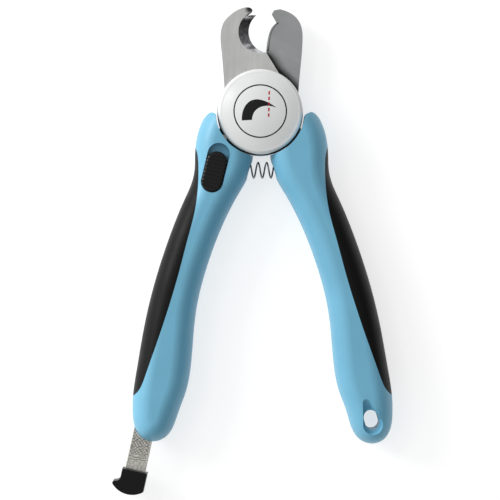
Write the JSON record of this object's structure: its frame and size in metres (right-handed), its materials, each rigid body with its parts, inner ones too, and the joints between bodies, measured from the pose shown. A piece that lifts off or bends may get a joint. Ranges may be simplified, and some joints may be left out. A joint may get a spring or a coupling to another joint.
{
  "type": "pet nail clipper",
  "caption": "Plier-type pet nail clipper: two hooked blades on a pivot, sprung handles with soft grips, a sliding lock and a nail file stored in one handle.",
  "frame": {"origin": "on the pivot axis, in the plane of the rear cap's flat face, which the clipper rests on", "axes": "+Y from the pivot towards the jaws, +X to the right seen from the front, +Z out of the front face along the pivot axis"},
  "size_m": [0.1035, 0.1798, 0.0188],
  "materials": {
    "blade_steel": "fine brushed stainless steel",
    "cap_white": "glossy white moulded plastic",
    "rear_cap_plastic": "satin blue moulded plastic",
    "handle_blue": "satin light blue moulded plastic",
    "grip_black": "soft matt black overmoulded rubber",
    "lock_black": "satin black plastic",
    "file_cap_black": "satin black plastic",
    "file_steel": "steel cut with crossed grooves",
    "spring_steel": "drawn spring wire",
    "bolt_steel": "turned steel",
    "pin_steel": "ground steel",
    "screw_steel": "nickel plated steel"
  },
  "bodies": {
    "left_lever": {"rear_blade": "blade_steel", "rear_cap": "rear_cap_plastic", "stop_pin": "pin_steel", "left_handle_front": "handle_blue", "left_handle_back": "handle_blue", "left_grip": "grip_black", "left_handle_screws": "screw_steel", "left_tang_pins": "pin_steel", "return_spring": "spring_steel", "lock_detent_spring": "spring_steel", "file_spring": "spring_steel"},
    "right_lever": {"front_blade": "blade_steel", "front_cap": "cap_white", "pivot_bolt": "bolt_steel", "pivot_nut": "bolt_steel", "front_washer": "bolt_steel", "rear_washer": "bolt_steel", "right_handle_front": "handle_blue", "right_handle_back": "handle_blue", "right_grip": "grip_black", "right_handle_screws": "screw_steel", "right_tang_pins": "pin_steel"},
    "lock": {"lock_button": "lock_black", "lock_bolt": "bolt_steel"},
    "file": {"nail_file": "file_steel", "file_cap": "file_cap_black"}
  },
  "joints": [
    {"name": "handle_hinge", "type": "hinge", "parent": "left_lever", "child": "right_lever", "pos_m": [0, 0, 0.009], "axis": [0, 0, -1], "range_deg": [0, 20], "stiffness_Nm_per_rad": 0.46, "springref_deg": -9.74, "deforming": ["return_spring"]},
    {"name": "lock_slide", "type": "slide", "parent": "left_lever", "child": "lock", "axis": [0.2368, 0.9715, 0], "range_m": [0, 0.0031], "deforming": ["lock_detent_spring"]},
    {"name": "file_slide", "type": "slide", "parent": "left_lever", "child": "file", "axis": [-0.2164, -0.9763, 0], "range_m": [-0.0116, 0.046]}
  ]
}
